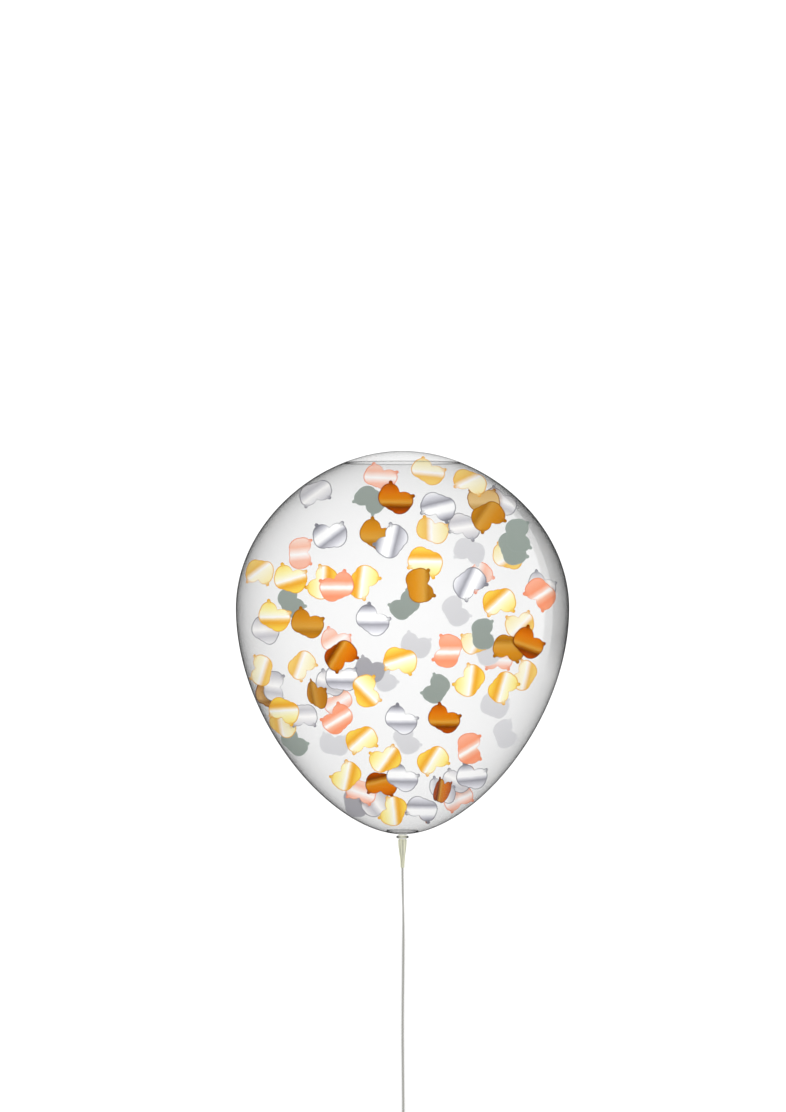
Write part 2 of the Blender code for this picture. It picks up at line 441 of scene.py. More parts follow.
@dataclass(frozen=True)
class GrainedFinish:
    """A surface with a raised grain. Its tones run from level grain to high grain, and on into the painted
    shade that its mesh holds.
    """

    name: str
    tones: Stops
    roughness: float
    grain_mm: float
    detail: float
    relief: float
    relief_depth: float = 0.0001
    stretch: float = 1.0
    reads_painted_shade: bool = True
    extra: tuple[tuple[str, object], ...] = ()

    def build(self) -> Material:
        """Makes the material.

        Returns:
            The material.
        """
        material, tree, shader = new_material(self.name, {"Roughness": self.roughness, **dict(self.extra)})
        tone = grain = add_noise(tree, self.grain_mm, self.detail, self.stretch)
        # The mesh's painted shade for each point darkens the tone
        if self.reads_painted_shade:
            halved = {"operation": "MULTIPLY_ADD", "use_clamp": True, 1: 0.5}
            mixed = add_node(tree, "ShaderNodeMath", halved, {0: grain, 2: add_shade(tree, "fold")})
            tone = mixed.outputs["Value"]
        ramp = add_node(tree, "ShaderNodeValToRGB", links={"Fac": tone})
        set_stops(ramp.color_ramp, self.tones)
        tree.links.new(ramp.outputs["Color"], shader.inputs["Base Color"])
        tree.links.new(add_bump(tree, grain, self.relief, self.relief_depth), shader.inputs["Normal"])
        return material

    def dress(self, piece: Object) -> None:
        """Makes this a piece's only finish."""
        piece.data.materials.clear()
        piece.data.materials.append(self.build())


@dataclass(frozen=True)
class ThickLatex(GrainedFinish):
    """The same latex unblown and gathered, which is thick enough to look cream and half matt."""

    name: str = "gathered_natural_latex"
    # The tones darken from the grain, and further with the painted shade in the pleats' creases
    tones: Stops = ((0.0, "#F4F4EC"), (0.1, "#D2D2BA"), (1.0, "#84867A"))
    roughness: float = 0.38
    grain_mm: float = 3.0
    detail: float = 3.0
    relief: float = 0.3
    relief_depth: float = 0.0003
    stretch: float = 0.25
    extra: tuple[tuple[str, object], ...] = (
        ("IOR", 1.52),
        ("Subsurface Weight", 0.25),
        ("Subsurface Radius", (0.002, 0.002, 0.0014)),
        ("Subsurface Scale", 1.0),
    )


@dataclass(frozen=True)
class CottonString(GrainedFinish):
    """Grey cotton, three strands laid into a string: soft, matt and a little fuzzy."""

    name: str = "laid_grey_cotton"
    # The tones darken from the grain, and further with the painted shade in the grooves between the strands
    tones: Stops = ((0.0, "#ABABA6"), (1.0, "#84847F"))
    roughness: float = 0.85
    grain_mm: float = 0.35
    detail: float = 3.0
    relief: float = 0.5
    extra: tuple[tuple[str, object], ...] = (("Sheen Weight", 0.2),)


@dataclass(frozen=True)
class TiePaper(GrainedFinish):
    """Off-white kraft paper glued round a thin wire: matt, with faint fibres along it."""

    name: str = "twist_tie_paper"
    tones: Stops = ((0.0, "#CFCCC0"), (1.0, "#E2E0D6"))
    roughness: float = 0.7
    grain_mm: float = 0.6
    detail: float = 4.0
    relief: float = 0.25
    reads_painted_shade: bool = False


@dataclass(frozen=True)
class Balloon:
    """The latex balloon: a closed film over the body, and the gathered neck and tail."""

    shape: BodyShape
    crown_film: float = 0.00012
    crown_patch_radius: float = 0.052
    neck_ring_radius: float = 0.0140
    crown_bead: float = 0.0011
    neck_bead: float = 0.0019
    bead_width: float = 0.0007
    bead_rings: int = 13
    bead_reach: float = 3.0
    film_change: float = 0.00035
    run_middle_y: float = 0.078
    run_length: float = 0.150
    run_end_fade: float = 0.03
    run_half_turn: float = 27.7
    run_edge_turn: float = 22.0
    run_swell: float = 0.6
    run_thinning: float = 0.4
    left_swell: float = 0.25
    left_narrowness: int = 8
    sides: int = 224
    rows: int = 150
    measure_steps: int = 3000
    neck_diameter: float = 0.0066
    neck_fillet: float = 0.0015
    neck_pleat: float = 0.3
    tail_shoulder: float = 0.0012
    tail_top_diameter: float = 0.0079
    tail_end_diameter: float = 0.0037
    tail_sides: int = 56
    tail_overlap: float = 0.0001
    pleats: int = 7
    pleat_depth: float = 0.00055
    pleat_twist: float = 60.0
    cross_pleats: int = 3
    cross_share: float = 0.4
    cross_twist: float = -90.0
    fold_shade: float = 0.175
    stretched_shade: float = -0.5
    pleat_sink: float = 0.9
    pleat_fade_radius: float = 0.002
    fillet_steps: int = 6
    shoulder_steps: int = 4
    taper_steps: int = 32
    end_rows: tuple[tuple[float, float, float], ...] = ((0.0004, 0.0002, 0.8), (0.0010, 0.0, 0.4))
    end_hollow: tuple[float, float] = (0.0012, 0.0020)
    merge: float = 0.000005

    def stations(self) -> tuple[np.ndarray, np.ndarray, np.ndarray]:
        """Spaces the film's rings, closer at the beads, and gives each its film thickness.

        Returns:
            Radius, place along the axis and film thickness of every ring, from crown to neck.
        """
        fine = self.shape.outline(self.measure_steps)
        fine = fine[(fine[:, 0] > self.neck_diameter / 2 + self.neck_fillet) | (fine[:, 1] > 0)]
        run = np.concatenate([[0.0], np.cumsum(np.hypot(*np.diff(fine, axis=0).T))])
        front = fine[:, 1] > self.shape.widest_y
        crown_ring = np.interp(self.crown_patch_radius, fine[front, 0], run[front])
        neck_ring = np.interp(-self.neck_ring_radius, -fine[~front, 0], run[~front])
        near_bead = np.linspace(-self.bead_reach, self.bead_reach, self.bead_rings) * self.bead_width
        even = np.linspace(run[0], run[-1], self.rows)
        places = np.unique(np.concatenate([even, crown_ring + near_bead, neck_ring + near_bead]))
        beads = np.zeros_like(places)
        for ring, height in ((crown_ring, self.crown_bead), (neck_ring, self.neck_bead)):
            beads += height * np.exp(-(((places - ring) / self.bead_width) ** 2))
        swell = 1 / (1 + np.exp(-(places - crown_ring) / self.film_change))
        thickness = self.crown_film + (self.shape.film - self.crown_film) * swell + beads
        return np.interp(places, run, fine[:, 0]), np.interp(places, run, fine[:, 1]), thickness

    def swell(self, ys: np.ndarray, turn: np.ndarray) -> np.ndarray:
        """Gives the film's swelling: a run of the dip down its right side, with thin skin beside it.

        Args:
            ys: The rings' places along the axis.
            turn: The turns of the film's corners round the axis, from straight down.

        Returns:
            A factor for each ring and corner.
        """
        past = np.abs(np.degrees(turn) - 90) - self.run_half_turn
        thick = past < 0
        beside = np.clip(1 - past / self.run_edge_turn, 0, 1) * ~thick
        to_end = self.run_length / 2 - np.abs(ys - self.run_middle_y)
        ends = np.clip(to_end / self.run_end_fade + 0.5, 0, 1)
        left = self.left_swell * np.clip(-np.sin(turn), 0, 1) ** self.left_narrowness
        return 1 + left + ends[:, None] * (self.run_swell * thick - self.run_thinning * beside)

    def build_film(self) -> None:
        """Makes the film as one closed shell with a real thickness."""
        radii, ys, thickness = self.stations()
        out = np.gradient(radii), np.gradient(ys)
        size = np.hypot(*out)
        # The outward direction is a quarter turn from the outline's own direction
        normal_r, normal_y = -out[1] / size, out[0] / size
        normal_r[0], normal_y[0] = 0.0, 1.0
        turn = math.tau * np.arange(self.sides) / self.sides
        height = self.shape.axis_height
        depth = thickness[:, None] * self.swell(ys, turn)
        sheets = []
        for inset, floor in ((0.0, 0.0), (1.0, self.shape.film)):
            ring_r = np.maximum(radii[:, None] - inset * depth * normal_r[:, None], 0.0)[1:]
            ring_y = (ys[:, None] - inset * depth * normal_y[:, None])[1:]
            z = np.maximum(height - ring_r * np.cos(turn), floor)
            pole = np.array([[0.0, ys[0] - inset * thickness[0], height]])
            rings = np.stack([ring_r * np.sin(turn), ring_y, z], axis=2)
            sheets.append(np.concatenate([pole, rings.reshape(-1, 3)]))
        count = len(sheets[0])
        faces = join_rings((count - self.sides, 2 * count - self.sides), self.sides)
        for pole in (0, count):
            sheet = join_rings(range(pole + 1, pole + count, self.sides), self.sides)
            faces += sheet + [(pole, corners[1], corners[0]) for corners in sheet[: self.sides]]
        mesh = smooth_mesh("balloon_film", np.concatenate(sheets), faces, {})
        face_outward(mesh)
        film = add_piece(mesh, [ClearLatexFilm().build()], "clear_latex", "balloon")
        # So thin and clear a film lets the studio's light through to the surface
        film.visible_shadow = False
        film.visible_diffuse = False
        LOG.info("film: %d rings of %d sides", len(radii), self.sides)

    def tail_rows(self) -> list[tuple[float, float, float]]:
        """Shapes the neck and the tail.

        Returns:
            Each ring's radius, place along the axis and share of the pleats' depth.
        """
        waist, top, end = self.neck_diameter / 2, self.tail_top_diameter / 2, self.tail_end_diameter / 2
        start_y, end_y, fillet = self.shape.body_end_y, self.shape.tail_end_y, self.neck_fillet
        shoulder_y = start_y - fillet - STRING_DIAMETER - 2 * TOUCH_GAP
        taper_y = shoulder_y - self.tail_shoulder
        top_y = start_y - self.tail_overlap
        rows = [(0.0, top_y, 0.0), (waist + fillet, top_y, 0.0)]
        for step in range(1, self.fillet_steps + 1):
            turn = math.radians(90) * step / self.fillet_steps
            out, down = 1 - math.sin(turn), 1 - math.cos(turn)
            pleat = self.neck_pleat * step / self.fillet_steps
            rows.append((waist + fillet * out, start_y - fillet * down, pleat))
        rows.append((waist, shoulder_y + TOUCH_GAP, self.neck_pleat))
        for step in range(1, self.shoulder_steps + 1):
            share = step / self.shoulder_steps
            pleat = self.neck_pleat + (1 - self.neck_pleat) * share
            rows.append((waist + (top - waist) * share, shoulder_y - self.tail_shoulder * share, pleat))
        for step in range(1, self.taper_steps + 1):
            share = step / self.taper_steps
            rows.append((top + (end - top) * ease(share), taper_y + (end_y - taper_y) * share, 1.0))
        # The end sinks in round the string
        rows += [(end - inward, end_y - down, pleat) for inward, down, pleat in self.end_rows]
        at_string, at_axis = self.end_hollow
        return rows + [(STRING_DIAMETER / 2, end_y + at_string, 0.0), (0.0, end_y + at_axis, 0.0)]

    def build_tail(self) -> None:
        """Makes the gathered neck and tail, with pleats that twist a little and painted shade in their
        creases.
        """
        rows = self.tail_rows()
        radius, y, pleat = (column[:, None] for column in np.array(rows).T)
        along = y[0] - y
        turn = math.tau * np.arange(self.tail_sides) / self.tail_sides
        wave = np.cos(self.pleats * turn + self.pleat_twist * along)
        wave += self.cross_share * np.cos(self.cross_pleats * turn + self.cross_twist * along)
        fade = np.minimum(1, radius / self.pleat_fade_radius)
        depth = pleat * self.pleat_depth * (wave - self.pleat_sink) * fade
        here = np.maximum(radius + depth, 0.0)
        across, up = here * np.sin(turn), self.shape.axis_height - here * np.cos(turn)
        points = np.stack([across, y + 0 * turn, up], axis=2).reshape(-1, 3)
        # Painted shade darkens the creases between the pleats
        # The neck above the string is still stretched thin, so it stays pale
        painted_crease = self.fold_shade * pleat * (1 - wave)
        painted_shades = np.where(pleat > self.neck_pleat, painted_crease, self.stretched_shade)
        faces = join_rings(range(0, len(points), self.tail_sides), self.tail_sides)
        mesh = smooth_mesh("balloon_tail", points, faces, {"fold": painted_shades.ravel()})
        face_outward(mesh, self.merge)
        add_piece(mesh, [ThickLatex().build()], "clear_latex", "balloon")
        LOG.info("tail: %d pleats", self.pleats)

    def build(self) -> None:
        """Builds the film and the tail."""
        self.build_film()
        self.build_tail()


@dataclass(frozen=True)
class FoilFinish:
    """Metallised polyester film, cut by a die, with a face and a paler back.

    The face has a painted highlight, a white band with darker painted bands beside it, in place of the
    reflections that bent foil shows. The back has a paler copy with its own painted highlight, and a softer
    gloss.
    """

    name: str
    slot: str
    face: Stops
    back: Stops
    edge: str
    metallic: float = 1.0
    roughness: float = 0.42
    back_metallic_share: float = 0.5
    back_roughness: float = 0.5
    crinkle_mm: float = 6.0
    waver: float = 0.05

    def build_side(self, label: str, stops: Stops, metallic: float, roughness: float) -> Material:
        """Makes the material of one side.

        Args:
            label: The side's name.
            stops: Colours by their place across the painted highlight band, from 0 to 1.
            metallic: How metallic the side is.
            roughness: The side's roughness.

        Returns:
            The material.
        """
        gloss = {"Metallic": metallic, "Roughness": roughness}
        material, tree, shader = new_material(f"{self.name}_{label}", gloss)
        crinkle = add_noise(tree, self.crinkle_mm, detail=2.0)
        sway = {"operation": "MULTIPLY_ADD", 1: self.waver}
        swayed = add_node(tree, "ShaderNodeMath", sway, {0: crinkle, 2: add_shade(tree, "band")})
        ramp = add_node(tree, "ShaderNodeValToRGB", links={"Fac": swayed.outputs["Value"]})
        set_stops(ramp.color_ramp, stops)
        outline = add_node(tree, "ShaderNodeMix", {"data_type": "RGBA"}, {"Factor": add_shade(tree, "rim")})
        colours = [s for s in outline.inputs if s.type == "RGBA"]
        colours[0].default_value = linear(self.edge)
        tree.links.new(ramp.outputs["Color"], colours[1])
        result = next(s for s in outline.outputs if s.type == "RGBA")
        tree.links.new(result, shader.inputs["Base Color"])
        return material

    def build(self) -> list[Material]:
        """Makes the two materials of the foil.

        Returns:
            The face's material and the back's.
        """
        back_metallic = self.back_metallic_share * self.metallic
        return [
            self.build_side("face", self.face, self.metallic, self.roughness),
            self.build_side("back", self.back, back_metallic, self.back_roughness),
        ]


class Foil(Enum):
    """The kinds of confetti in the balloon."""

    # The gold, copper, amber, silver and rose ramps hold a painted highlight, a light band with darker
    # painted bands beside it
    GOLD = FoilFinish(
        "gold_foil",
        "foil_gold",
        (
            (0.0, "#FFE26A"), (0.14, "#FBD252"), (0.31, "#F2AE34"), (0.38, "#F7C05A"), (0.45, "#FCE8BC"),
            (0.50, "#FFFFFF"), (0.57, "#FFFCE2"), (0.74, "#FFF6B4"), (1.0, "#FFE678"),
        ),
        ((0.0, "#FBDC7C"), (0.30, "#F3C562"), (0.48, "#FFFFFF"), (0.56, "#FFFCE6"), (1.0, "#FBEEB4")),
        "#EBA82C",
    )
    COPPER = FoilFinish(
        "copper_foil",
        "foil_copper",
        (
            (0.0, "#C85206"), (0.14, "#A84602"), (0.24, "#7A3600"), (0.33, "#B96E12"), (0.41, "#DCA03C"),
            (0.52, "#DC8412"), (0.75, "#DC7408"), (1.0, "#C05A04"),
        ),
        ((0.0, "#CE9644"), (0.3, "#A87834"), (0.45, "#E0B26A"), (1.0, "#C89048")),
        "#7C3200",
    )
    AMBER = FoilFinish(
        "amber_foil",
        "foil_copper",
        ((0.0, "#D28C1C"), (0.25, "#B0741A"), (0.42, "#D8A040"), (0.7, "#D68E1E"), (1.0, "#C88018")),
        ((0.0, "#DCA850"), (0.3, "#C8A05A"), (0.45, "#E4C488"), (1.0, "#D8AC60")),
        "#9C600C",
    )
    SILVER = FoilFinish(
        "silver_foil",
        "foil_silver",
        (
            (0.0, "#FFFFFF"), (0.14, "#E6E6EC"), (0.30, "#BEBEC6"), (0.38, "#A0A0A8"), (0.44, "#CACAD2"),
            (0.54, "#FFFFFF"), (0.72, "#FFFFFF"), (0.86, "#C8C8D0"), (1.0, "#808088"),
        ),
        ((0.0, "#F4F4F6"), (0.3, "#CCCCD2"), (0.42, "#E2E2E6"), (0.55, "#FFFFFF"), (1.0, "#C4C4CC")),
        "#84848C",
    )
    ROSE = FoilFinish(
        "rose_foil",
        "foil_rose",
        (
            (0.0, "#FDA780"), (0.2, "#FB9A72"), (0.36, "#FBBEA0"), (0.45, "#FFF6EE"), (0.50, "#FFFFFF"),
            (0.57, "#FDD2BE"), (0.70, "#FCA27C"), (1.0, "#FDB496"),
        ),
        ((0.0, "#FBC0A8"), (0.25, "#FBC4AE"), (0.48, "#FFFFFF"), (0.74, "#FBC4AC"), (1.0, "#FDE0D4")),
        "#F08E68",
    )
    # Sage, mist and slate are plain grey flakes for the soft grey ghosts among the confetti, partly flake
    # backs and partly painted shadow of other flakes
    SAGE = FoilFinish(
        "sage_flake_and_painted_shadow",
        "foil_silver",
        ((0.0, "#8F9B93"), (0.5, "#929D95"), (1.0, "#949F98")),
        ((0.0, "#8C968F"), (0.5, "#8F9992"), (1.0, "#919B95")),
        "#98A39C", 0.1, 0.6,
    )
    MIST = FoilFinish(
        "mist_flake_and_painted_shadow",
        "foil_silver",
        ((0.0, "#CECED1"), (0.5, "#D1D1D4"), (1.0, "#D4D4D7")),
        ((0.0, "#CECED1"), (0.5, "#D1D1D4"), (1.0, "#D4D4D7")),
        "#DADADC", 0.1, 0.6,
    )
    SLATE = FoilFinish(
        "slate_flake_and_painted_shadow",
        "foil_silver",
        ((0.0, "#9E9DA3"), (0.5, "#A09FA5"), (1.0, "#A3A2A7")),
        ((0.0, "#9E9DA3"), (0.5, "#A09FA5"), (1.0, "#A3A2A7")),
        "#AEADB2", 0.1, 0.6,
    )


class Wall(Enum):
    """The side of the balloon that a flake clings to."""

    TOP = 1
    UNDER = -1

    @property
    def stand_off(self) -> float:
        """Gives the share by which a flake turns from the wall's slope to level."""
        return 0.66 if self is Wall.TOP else 0.46


@dataclass(frozen=True)
class Flake:
    """One piece of confetti, placed where the photograph shows it.

    Attributes:
        foil: Its finish.
        column: The photograph's pixel column of its middle.
        row: The photograph's pixel row of its middle.
        turn: Degrees clockwise from the photograph's up to the side with the notch.
        band: Degrees clockwise from the photograph's up to the pale side of its painted highlight band.
        lean: Degrees that it leans about the photograph's up, which narrows it.
        wall: The side of the balloon that it clings to.
    """

    foil: Foil
    column: float
    row: float
    turn: float
    band: float = 0.0
    lean: float = 0.0
    wall: Wall = Wall.TOP


# Short names for the lists of flakes
GOLD, COPPER, AMBER, SILVER, ROSE, SAGE, MIST, SLATE = Foil


def near_flakes() -> list[Flake]:
    """Lists the flakes that cling to the upper wall.

    Returns:
        The flakes, those on top first.
    """
    return [
        Flake(COPPER, 395.7, 498.4, 31), Flake(SILVER, 438.2, 507.0, 200, 165),
        Flake(AMBER, 488.3, 516.5, 153, 125), Flake(SILVER, 329.8, 535.0, -5, -38),
        Flake(SILVER, 391.5, 541.0, -52, -76), Flake(AMBER, 377.0, 534.5, 33),
        Flake(GOLD, 290.5, 578.5, 17, -16), Flake(ROSE, 336.7, 586.2, -23),
        Flake(GOLD, 322.3, 582.4, -58, -88), Flake(GOLD, 363.0, 582.0, 127, 97),
        Flake(AMBER, 420.2, 585.5, 77, -90), Flake(GOLD, 425.3, 562.0, 202, 180),
        Flake(SILVER, 469.8, 583.5, 142, 115), Flake(SAGE, 518.5, 535.5, 85), Flake(SAGE, 513.0, 548.0, 70),
        Flake(ROSE, 540.5, 594.0, 223, -30), Flake(GOLD, 499.3, 602.2, 170, 138),
        Flake(SILVER, 372.6, 620.0, 37), Flake(GOLD, 274.3, 616.3, 29), Flake(AMBER, 307.3, 623.3, 25),
        Flake(COPPER, 528.8, 642.7, 47, 20), Flake(AMBER, 509.0, 648.5, 195, 180),
        Flake(COPPER, 340.8, 656.0, 145, 121), Flake(GOLD, 400.3, 661.0, 192, 162),
        Flake(ROSE, 447.6, 651.0, -72), Flake(GOLD, 366.6, 691.0, 75, 45), Flake(SILVER, 341.8, 677.8, 8),
        Flake(GOLD, 469.6, 680.6, -54, -83), Flake(GOLD, 503.4, 687.4, 129, 105),
        Flake(AMBER, 316.7, 694.6, 28, 90, lean=-40), Flake(GOLD, 283.8, 711.0, 202, 176),
        Flake(COPPER, 444.2, 718.7, 31), Flake(SILVER, 401.2, 719.8, 35),
        Flake(ROSE, 337.2, 719.0, -45, -32), Flake(GOLD, 361.6, 740.0, 161, 138),
        Flake(GOLD, 385.3, 759.0, -20, -55), Flake(GOLD, 433.0, 760.5, 151, 121),
        Flake(ROSE, 469.8, 748.5, 88, -30), Flake(GOLD, 346.0, 776.0, -46, -77),
        Flake(SILVER, 472.0, 776.5, 16, -5), Flake(SILVER, 402.3, 777.6, 33),
        Flake(GOLD, 393.0, 811.2, -69, -95), Flake(COPPER, 381.3, 784.5, 187, 165),
        Flake(COPPER, 442.3, 790.6, 28, 95, lean=50), Flake(SILVER, 421.8, 809.3, 202, 180),
    ]


def far_flakes() -> list[Flake]:
    """Lists the flakes that lie on the lower wall.

    Returns:
        The flakes, those on top last.
    """
    seen = [
        Flake(ROSE, 380.5, 476.5, 20), Flake(SAGE, 370.0, 500.0, 215), Flake(GOLD, 428.0, 471.0, 30),
        Flake(GOLD, 470.0, 482.0, 200, 150), Flake(AMBER, 484.0, 500.0, 0),
        Flake(SILVER, 504.0, 497.0, 30, 20), Flake(SILVER, 312.0, 487.0, 160, 140),
        Flake(SILVER, 464.5, 526.5, 200, 170), Flake(GOLD, 432.5, 530.0, 20, 90),
        Flake(MIST, 469.4, 551.5, 200), Flake(GOLD, 508.0, 556.0, 15, -30), Flake(ROSE, 300.6, 553.0, 90),
        Flake(GOLD, 259.5, 572.5, 189, 147), Flake(ROSE, 478.0, 577.0, 140, 100),
        Flake(SILVER, 542.0, 586.0, 33), Flake(SAGE, 291.4, 601.9, 60), Flake(SAGE, 404.6, 605.0, -40),
        Flake(MIST, 456.0, 611.0, 60), Flake(GOLD, 519.8, 624.4, -15, -45), Flake(SILVER, 265.4, 630.1, 33),
        Flake(ROSE, 336.0, 641.0, 20, -30), Flake(SAGE, 483.5, 634.0, 85),
        Flake(GOLD, 476.0, 641.0, -20, -60), Flake(MIST, 487.0, 650.5, 70), Flake(MIST, 416.0, 645.0, 20),
        Flake(GOLD, 302.0, 665.5, 135, 110), Flake(GOLD, 261.0, 670.5, -80, -73),
        Flake(SLATE, 370.0, 669.5, 20), Flake(ROSE, 498.0, 659.0, 180), Flake(MIST, 384.0, 677.0, 60),
        Flake(SILVER, 330.5, 683.0, 20, 20), Flake(GOLD, 524.0, 675.5, -60, -80),
        Flake(SILVER, 274.0, 686.5, 90), Flake(SAGE, 436.0, 688.8, -56), Flake(COPPER, 263.0, 698.0, 30),
        Flake(ROSE, 338.0, 702.0, -45, -32), Flake(MIST, 495.0, 705.5, 20),
        Flake(SILVER, 303.0, 716.0, 180, 180), Flake(MIST, 505.5, 734.0, 70),
        Flake(GOLD, 277.5, 727.4, 40, 90), Flake(SAGE, 294.5, 742.0, 45),
        Flake(SILVER, 457.0, 781.0, 10, 20), Flake(ROSE, 361.0, 792.0, 200, 20),
        Flake(MIST, 407.0, 740.0, 60), Flake(MIST, 334.0, 744.0, 10), Flake(SILVER, 376.0, 804.0, -30, 60),
        Flake(ROSE, 459.5, 801.8, 150, -25), Flake(SLATE, 355.0, 805.0, 80),
    ]
    return [replace(flake, wall=Wall.UNDER) for flake in reversed(seen)]


@dataclass(frozen=True)
class Oval:
    """A round part of the die's edge, in shares of the flake's width from its middle."""

    across: float
    up: float
    half_width: float
    half_height: float

    def reach(self, direction: float) -> float:
        """Finds where a ray from the flake's middle leaves the oval.

        Args:
            direction: Radians anticlockwise from the right.

        Returns:
            The distance, or zero where the ray misses.
        """
        way = Vector((math.cos(direction) / self.half_width, math.sin(direction) / self.half_height))
        start = Vector((-self.across / self.half_width, -self.up / self.half_height))
        inside = start.dot(way) ** 2 - way.length_squared * (start.length_squared - 1)
        if inside < 0:
            return 0.0
        return max(0.0, (math.sqrt(inside) - start.dot(way)) / way.length_squared)


@dataclass(frozen=True)
class Nub:
    """The small knob where the die's cut ends on a lobe, by its middle in shares of the width."""

    across: float
    up: float
    radius: float = 0.056

    def join(self, edge: list[Vector], steps: int = 9) -> list[Vector]:
        """Sets the nub on an edge.

        Args:
            edge: The edge's points, anticlockwise.
            steps: How many steps the nub's arc has.

        Returns:
            The edge with the nub's arc in place of what it covers.
        """
        middle = Vector((self.across, self.up))
        covered = [(point - middle).length < self.radius for point in edge]
        first = next(i for i, hit in enumerate(covered) if hit and not covered[i - 1])
        turned = edge[first:] + edge[:first]
        rest = [point for point in turned if (point - middle).length >= self.radius]
        leave, arrive = rest[-1] - middle, rest[0] - middle
        start = math.atan2(leave.y, leave.x)
        sweep = (math.atan2(arrive.y, arrive.x) - start) % math.tau
        arc = [start + sweep * step / steps for step in range(1, steps)]
        return rest + [middle + Vector((math.cos(a), math.sin(a))) * self.radius for a in arc]


@dataclass(frozen=True)
class HeartDie:
    """The die that cuts the confetti: a low broad heart of round parts, with a nub on each lobe."""

    width: float = 0.0273
    thickness: float = 0.00010
    points: int = 720
    spacing: float = 0.021
    lobe: Oval = Oval(0.240, 0.060, 0.275, 0.285)
    hip: Oval = Oval(0.205, -0.040, 0.305, 0.350)
    foot: Oval = Oval(0.0, -0.120, 0.300, 0.270)
    nub: Nub = Nub(0.386, 0.337)
    rings: tuple[float, ...] = (1.0, 0.97, 0.92, 0.70, 0.40)
    edge_fade: tuple[float, ...] = (0.0, 0.15, 1.0, 1.0, 1.0)
    nub_fade: float = 0.3
    nub_rings: int = 3
    nub_margin: float = 1.02
    band_width: float = 0.92
    sharp_turn: float = 50.0

    @cached_property
    def edge(self) -> np.ndarray:
        """Draws the cut edge.

        Returns:
            Rows of x and y, anticlockwise, in shares of the width from the flake's middle.
        """
        edge = []
        for index in range(self.points):
            turn = math.tau * index / self.points
            # The left half mirrors the right one
            half_turn = min(turn, (math.pi - turn) % math.tau, key=lambda way: -math.cos(way))
            reach = max(oval.reach(half_turn) for oval in (self.lobe, self.hip, self.foot))
            edge.append(Vector((math.cos(turn), math.sin(turn))) * reach)
        for nub in (self.nub, replace(self.nub, across=-self.nub.across)):
            edge = nub.join(edge)
        kept = edge[:1]
        for point in edge:
            if min((point - end).length for end in (kept[0], kept[-1])) >= self.spacing:
                kept.append(point)
        return np.array(kept)

    def mesh(self, name: str, growth: float, curl: float, curl_turn: float, band_turn: float) -> Mesh:
        """Cuts one flake and bends it a little.

        Args:
            name: The mesh's name.
            growth: Its width in shares of the die's.
            curl: How much it bends, as one over the radius in metres, towards its face.
            curl_turn: The direction that it rolls in, in degrees clockwise from its notch.
            band_turn: The pale side of its painted highlight band, in degrees clockwise from its notch.

        Returns:
            A closed mesh, its face towards +Z and its notch towards +Y.
        """
        width = self.width * growth
        edge = self.edge * width
        around = len(edge)
        flat = np.concatenate([edge * share for share in self.rings] + [np.zeros((1, 2))])
        roll, pale = math.radians(curl_turn), math.radians(band_turn)
        bend = 0.5 * curl * (flat @ np.array([math.sin(roll), math.cos(roll)])) ** 2
        half = self.thickness / 2
        sheets = [np.column_stack([flat, bend + lift]) for lift in (half, -half)]
        # Where each point lies across the painted highlight band
        band = 0.5 + flat @ np.array([math.sin(pale), math.cos(pale)]) / (self.band_width * width)
        fades = np.array(self.edge_fade)[:, None] * np.ones(around)
        # The edge colour reaches further in at the nubs
        off_nub = np.hypot(np.abs(self.edge[:, 0]) - self.nub.across, self.edge[:, 1] - self.nub.up)
        fades[: self.nub_rings, off_nub < self.nub_margin * self.nub.radius] *= self.nub_fade
        middle = len(flat) - 1
        face = join_rings(range(0, middle, around), around)
        face += [(corners[3], corners[2], middle) for corners in face[-around:]]
        back = [tuple(len(flat) + corner for corner in corners[::-1]) for corners in face]
        rim = [corners[::-1] for corners in join_rings((0, len(flat)), around)]
        shades = {"band": np.tile(band, 2), "rim": np.tile(np.append(fades.ravel(), 1.0), 2)}
        mesh = smooth_mesh(name, np.concatenate(sheets), face + back + rim, shades)
        mesh.set_sharp_from_angle(angle=math.radians(self.sharp_turn))
        slots = [0] * len(face) + [1] * len(back) + [0] * len(rim)
        mesh.polygons.foreach_set("material_index", slots)
        return mesh


